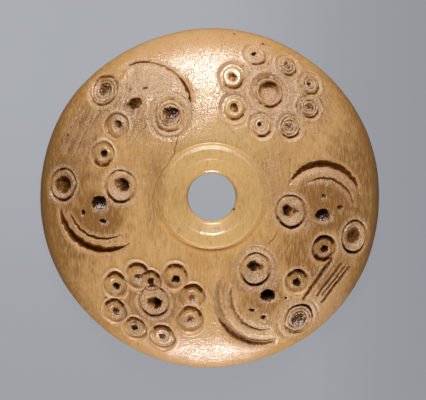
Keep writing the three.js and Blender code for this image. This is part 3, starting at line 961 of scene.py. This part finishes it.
def wear_marks(points, blank):
    """What the finish needs to know at each point."""
    wear = Wear((name, np.zeros(len(points))) for name in WEAR)
    wear_form(wear, points, blank)
    for patch in TONE_PATCHES + PATCHES:
        near, inside = patch_share(points, patch, blank)
        wear.lay(near, **{name: inside * patch[name] for name in WEAR if name in patch})
    for mark in MARKS:
        if mark["bit"]:
            wear_ring(wear, points, mark, blank)
        for hole in mark["pits"]:
            wear_pit(wear, points, mark, hole, blank)
    for arc in CRESCENTS:
        wear_arc(wear, points, arc, blank)
    for score in SCORES:
        wear_score(wear, points, score, blank)
    wear["crack"] += 1
    for near, off, shown, out in crack_offsets(points, blank):
        shown = shown * (1 - step_up(np.abs(off), 0.35, 0.55))
        held = wear["split"][near]
        better = (shown > held) | ((held == 0) & (np.abs(off) < np.abs(wear["crack"][near])))
        wear["crack"][near[better]] = off[better]
        wear["split"][near[better]] = shown[better]
    for place, radius in SPECKS:
        centre = np.array(place) * blank.disc_radius
        near = in_reach(points, centre, radius * 3)
        off = np.hypot(*(points[near, :2] - centre).T) / radius
        wear.lay(near, residue=bell(off, 1), stain=bell(off, 1.7))
    bore = np.hypot(points[:, 0] - BORE_OFFSET[0], points[:, 1] - BORE_OFFSET[1])
    in_bore = (bore < blank.bore_radius + 0.2) & (points[:, 2] < blank.lip_level - 0.7)
    for name in ("residue", "stain"):
        wear[name][in_bore] = 0
    return wear


def closed_mesh(name, points, faces):
    """A mesh in metres from points in millimetres and quads."""
    mesh = bpy.data.meshes.new(name)
    mesh.vertices.add(len(points))
    mesh.vertices.foreach_set("co", (points * MM).astype(np.float32).ravel())
    mesh.loops.add(faces.size)
    mesh.loops.foreach_set("vertex_index", faces.astype(np.int32).ravel())
    mesh.polygons.add(len(faces))
    mesh.polygons.foreach_set("loop_start", np.arange(0, faces.size, 4, dtype=np.int32))
    mesh.update(calc_edges=True)
    mesh.validate()
    return mesh


def thinned(piece, triangles):
    """Joins the flattest neighbouring faces until the piece has about as many triangles as asked."""
    modifier = piece.modifiers.new("thin", "DECIMATE")
    modifier.use_collapse_triangulate = True
    modifier.ratio = min(1, triangles / (2 * len(piece.data.polygons)))
    shaped = piece.evaluated_get(bpy.context.evaluated_depsgraph_get())
    mesh = bpy.data.meshes.new_from_object(shaped)
    piece.modifiers.clear()
    piece.data = mesh
    mesh.shade_smooth()


def node(tree, kind, inputs=None, **settings):
    """A shader node with its settings and its inputs, which are plain values or other nodes' outputs."""
    made = tree.nodes.new(kind)
    for name, value in settings.items():
        setattr(made, name, value)
    for name, value in (inputs or {}).items():
        value = getattr(value, "socket", value)
        if isinstance(value, bpy.types.NodeSocket):
            tree.links.new(value, made.inputs[name])
        else:
            made.inputs[name].default_value = value
    return made


class Value:
    """A node's output that takes part in plain arithmetic, each step of which is a node of its own."""

    def __init__(self, tree, socket):
        self.tree = tree
        self.socket = socket

    def worked(self, operation, other=0.0):
        """One step of arithmetic."""
        inputs = {0: self.socket, 1: other}
        return Value(self.tree, node(self.tree, "ShaderNodeMath", inputs, operation=operation).outputs[0])

    def ramp(self, low, high, start=0.0, end=1.0):
        """A smooth step from start, at low, to end, at high."""
        inputs = {"Value": self.socket, "From Min": low, "From Max": high, "To Min": start, "To Max": end}
        made = node(self.tree, "ShaderNodeMapRange", inputs, interpolation_type="SMOOTHSTEP")
        return Value(self.tree, made.outputs["Result"])

    def __add__(self, other):
        return self.worked("ADD", other)

    def __sub__(self, other):
        return self.worked("SUBTRACT", other)

    def __mul__(self, other):
        return self.worked("MULTIPLY", other)


def noise(tree, stretch, scale, detail=3.0, roughness=0.55, distortion=0.0):
    """Cloudy noise from about 0.2 to 0.8, on object coordinates scaled by x, y and z."""
    place = node(tree, "ShaderNodeTexCoord").outputs["Object"]
    mapped = node(tree, "ShaderNodeMapping", {"Vector": place, "Scale": stretch}).outputs["Vector"]
    inputs = {
        "Vector": mapped, "Scale": scale, "Detail": detail, "Roughness": roughness, "Distortion": distortion,
    }
    return Value(tree, node(tree, "ShaderNodeTexNoise", inputs).outputs["Fac"])


def blend(tree, amount, first, second):
    """A colour between two colours."""
    first = first if isinstance(first, bpy.types.NodeSocket) else (*first, 1)
    return node(tree, "ShaderNodeMix", {0: amount, 6: first, 7: (*second, 1)}, data_type="RGBA").outputs[2]


def material_tree(name):
    """A new material with its node tree and its shader."""
    material = bpy.data.materials.new(name)
    material.use_nodes = True
    return material, material.node_tree, material.node_tree.nodes["Principled BSDF"]


def bone_material(look):
    """Old polished bone: grain runs north, wear is pale and dull, and cuts hold stains, residue and grit. Some
    layers are painted light and shade: an orange glow, shade in the stains, residue and brown, and light in the
    pale and worn layers.
    """
    material, tree, shader = material_tree("old_bone")
    grain = noise(tree, (1, 0.16, 0.5), 1500, 4, 0.6, 0.3)
    streaks = noise(tree, (1, 0.14, 0.4), 5200, 3, 0.65, 0.3)
    clouds = noise(tree, (1, 0.6, 1), 140, 2)
    blotches = noise(tree, (1, 0.5, 0.7), 620, 4, 0.65)
    flecks = noise(tree, (1, 0.7, 1), 5600, 4, 0.75)
    dashes = noise(tree, (1, 0.16, 0.5), 6800, 1, 0.5)
    pebbles = noise(tree, (1, 0.75, 1), 6200, 2, 0.55)
    lumps = noise(tree, (1, 1, 1), 4200, 1, 0.5)
    gaps = noise(tree, (1, 1, 1), 2300, 2, 0.6)
    crumbs = noise(tree, (1, 0.8, 1), 7600, 2, 0.6)
    wear = {
        name: Value(tree, node(tree, "ShaderNodeAttribute", attribute_name=name).outputs["Fac"])
        for name in WEAR
    }
    ragged = streaks * 0.45 + flecks * 0.75 + gaps * 0.9 - 1.05
    tone = grain * 0.35 + clouds * 0.35 + streaks * 0.6 + flecks * 0.7 - 0.49
    worn = wear["worn"] * flecks.ramp(0.35, 0.58, 0.25, 1.3)
    dash = dashes.ramp(0.3, 0.4, 1, 0) * blotches.ramp(0.4, 0.6, 0.15, 1)
    crust = (crumbs * -1 + 0.5) * wear["worn"] * 8
    dirt = ((blotches - 0.5) * 1.3 + crust) * (wear["wax"] * -0.6 + 1)
    stained_and_shaded = wear["stain"] * flecks.ramp(0.3, 0.65, 1.25, 0.8) + dirt
    split = (ragged * 0.12 + wear["crack"]).worked("ABSOLUTE").ramp(0.025, 0.085, 0.9, 0)
    packed = ragged * 0.9 + wear["residue"]
    grains = (wear["grit"] * 0.32 + lumps).ramp(0.68, 0.73) * wear["grit"].ramp(0.05, 0.25)
    # The layers blended here include painted glow, shade and highlight laid by the wear.
    colour = look.dark
    for amount, over in (
        (tone.ramp(0.36, 0.66), look.light),
        (wear["wax"] * streaks.ramp(0.3, 0.7, 0.68, 0.88), look.wax),
        (wear["brown"] * streaks.ramp(0.33, 0.67, 1.3, 0.5), look.brown),
        (wear["pale"] * 0.7, look.worn),
        (worn.ramp(0.05, 0.9, 0.0, 0.95), look.worn),
        (wear["amber"] * 0.7, look.amber),
        (dash * 0.65, look.rust),
        (stained_and_shaded.ramp(0.06, 1.15, 0, 0.8), look.stain),
        ((ragged * 0.9 + wear["stain"]).ramp(0.42, 0.6, 0, 0.93), look.stain),
        (split * wear["split"], look.stain),
        (packed.ramp(0.34, 0.58), look.residue),
        (grains, look.grit),
    ):
        colour = blend(tree, amount, colour, over)

    soiled = packed.worked("MAXIMUM", wear["stain"]).worked("MAXIMUM", wear["grit"])
    rough = worn.worked("MAXIMUM", soiled).ramp(0.1, 0.8, look.gloss, look.chalk) + (blotches - 0.5) * 0.16
    sheen = soiled.ramp(0.2, 0.7, 0.6, 0.05) * flecks.ramp(0.38, 0.6, 0.15, 2.3)
    relief = pebbles * (wear["worn"] * 1.1 + 0.55) + crumbs * wear["worn"] * 1.3
    relief = relief + streaks * 0.12 - dash * 0.15
    relief = relief * (wear["wax"] * -0.75 + 1 - wear["pale"] * 0.2)
    bump = node(tree, "ShaderNodeBump", {"Height": relief, "Strength": 1.0, "Distance": 0.00009})
    for name, value in (
        ("Base Color", colour),
        ("Roughness", rough.socket),
        ("Specular IOR Level", sheen.socket),
        ("Normal", bump.outputs["Normal"]),
    ):
        tree.links.new(value, shader.inputs[name])
    shader.inputs["IOR"].default_value = 1.56
    shader.inputs["Subsurface Weight"].default_value = look.glow
    shader.inputs["Subsurface Radius"].default_value = (1.0, 0.42, 0.14)
    shader.inputs["Subsurface Scale"].default_value = look.glow_reach
    return material


def floor_material(stage):
    """A pale floor that glows by itself, lighter to the upper left, and takes a faint shadow."""
    material, tree, shader = material_tree("pale_floor")
    place = node(tree, "ShaderNodeTexCoord").outputs["Object"]
    parts = node(tree, "ShaderNodeSeparateXYZ", {"Vector": place}).outputs
    right = Value(tree, parts["X"]).ramp(-0.004, 0.03, 1, 1 - stage.floor_fall_right)
    near = Value(tree, parts["Y"]).ramp(-0.028, 0.016, 1 - stage.floor_fall_near, 1)
    colour = blend(tree, right.worked("MINIMUM", near), (0, 0, 0), stage.floor_tint)
    tree.links.new(colour, shader.inputs["Emission Color"])
    shader.inputs["Emission Strength"].default_value = 0.97
    shader.inputs["Base Color"].default_value = (0.02, 0.021, 0.022, 1)
    shader.inputs["Roughness"].default_value = 0.9
    shader.inputs["Specular IOR Level"].default_value = 0.1
    return material


def soft_light(name, colour, power, wide, tall, bearing, lean):
    """A soft light at a bearing from east and a lean from upright, facing the whorl."""
    distance = 0.6
    aim = (0, 0, 0.005)
    data = bpy.data.lights.new(name, "AREA")
    data.color = colour
    data.shape = "RECTANGLE"
    data.energy = power
    data.size = tall
    data.size_y = wide
    light = bpy.data.objects.new(name, data)
    turn = math.radians(bearing)
    tilt = math.radians(lean)
    away = np.array([math.sin(tilt) * math.cos(turn), math.sin(tilt) * math.sin(turn), math.cos(tilt)])
    light.location = np.array(aim) + away * distance
    light.rotation_euler = (0, tilt, turn)
    bpy.context.collection.objects.link(light)


class WHORL_OT_bone(bpy.types.Operator):
    """Turns and carves the whorl, and gives it its finish"""

    bl_idname = "whorl.bone"
    bl_label = "Turn and carve the whorl"

    def execute(self, context):
        form = context.scene.whorl_form
        blank = Blank(form)
        coarse = 1
        steps_round = form.steps_round // coarse
        points, rows = blank_points(blank, steps_round, coarse)
        carve(points, blank, form.carving_depth)
        mesh = closed_mesh("bone_whorl", points, grid_faces(rows, steps_round))
        piece = bpy.data.objects.new("bone_whorl", mesh)
        context.collection.objects.link(piece)
        thinned(piece, form.triangles)
        mesh = piece.data
        place = np.empty(len(mesh.vertices) * 3, np.float32)
        mesh.vertices.foreach_get("co", place)
        for name, amount in wear_marks(place.reshape(-1, 3).astype(float) / MM, blank).items():
            layer = mesh.attributes.new(name, "FLOAT", "POINT")
            layer.data.foreach_set("value", amount.astype(np.float32))
        mesh.materials.append(bone_material(context.scene.bone_look))
        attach(piece, "root")
        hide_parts("whorl")
        return {"FINISHED"}


class WHORL_OT_stage(bpy.types.Operator):
    """Lays the floor and sets the lights, the room and the camera"""

    bl_idname = "whorl.stage"
    bl_label = "Set the stage"

    def execute(self, context):
        scene = context.scene
        stage = scene.stage_look
        half = 3.0
        below = -0.00003
        mesh = bpy.data.meshes.new("floor")
        corners = [(-half, -half, below), (half, -half, below), (half, half, below), (-half, half, below)]
        mesh.from_pydata(corners, [], [(0, 1, 2, 3)])
        mesh.materials.append(floor_material(stage))
        floor = bpy.data.objects.new("floor", mesh)
        context.collection.objects.link(floor)
        floor.visible_diffuse = False
        floor.visible_glossy = False

        soft_light("key_light", stage.light_tint, stage.key_power, wide=0.165, tall=0.24, bearing=91, lean=46)
        soft_light("fill_light", stage.light_tint, stage.fill_power, wide=0.24, tall=0.2, bearing=270, lean=79)
        scene.world = bpy.data.worlds.new("room")
        scene.world.use_nodes = True
        background = scene.world.node_tree.nodes["Background"]
        background.inputs["Color"].default_value = (0.94, 0.97, 1, 1)
        background.inputs["Strength"].default_value = stage.room
        scene.view_settings.view_transform = "Standard"

        disc_radius_px = 169.6
        disc_centre_px = (210, 197.5)
        photo_px = (426, 400)
        rim_level = 0.0015
        pixel = scene.whorl_form.disc_radius / disc_radius_px
        data = bpy.data.cameras.new("camera")
        data.lens = stage.lens
        data.clip_start = 0.01
        camera = bpy.data.objects.new("camera", data)
        camera.location = (
            (photo_px[0] / 2 - disc_centre_px[0]) * pixel,
            (disc_centre_px[1] - photo_px[1] / 2) * pixel,
            rim_level + photo_px[0] * pixel * stage.lens / data.sensor_width,
        )
        context.collection.objects.link(camera)
        scene.camera = camera
        return {"FINISHED"}


class WHORL_PT_panel(bpy.types.Panel):
    """Lists the whorl's steps, sizes and colours"""

    bl_idname = "WHORL_PT_panel"
    bl_label = "Bone whorl"
    bl_space_type = "VIEW_3D"
    bl_region_type = "UI"
    bl_category = "Whorl"

    def draw(self, context):
        for step in STEPS:
            self.layout.operator(step.bl_idname)
        for group in GROUPS:
            box = self.layout.box()
            for name in GROUPS[group].__annotations__:
                box.prop(getattr(context.scene, group), name)


STEPS = (WHORL_OT_bone, WHORL_OT_stage)
GROUPS = {"whorl_form": WhorlForm, "bone_look": BoneLook, "stage_look": StageLook}


def register():
    """Registers the groups, operators and panel, and hangs the groups on the scene."""
    for name, group in GROUPS.items():
        bpy.utils.register_class(group)
        setattr(bpy.types.Scene, name, PointerProperty(type=group))
    for each in (*STEPS, WHORL_PT_panel):
        bpy.utils.register_class(each)


def unregister():
    """Takes back what register did."""
    for each in (WHORL_PT_panel, *STEPS):
        bpy.utils.unregister_class(each)
    for name, group in GROUPS.items():
        delattr(bpy.types.Scene, name)
        bpy.utils.unregister_class(group)


def main():
    """Runs every step."""
    register()
    bpy.ops.whorl.bone()
    bpy.ops.whorl.stage()


if __name__ == "__main__":
    main()
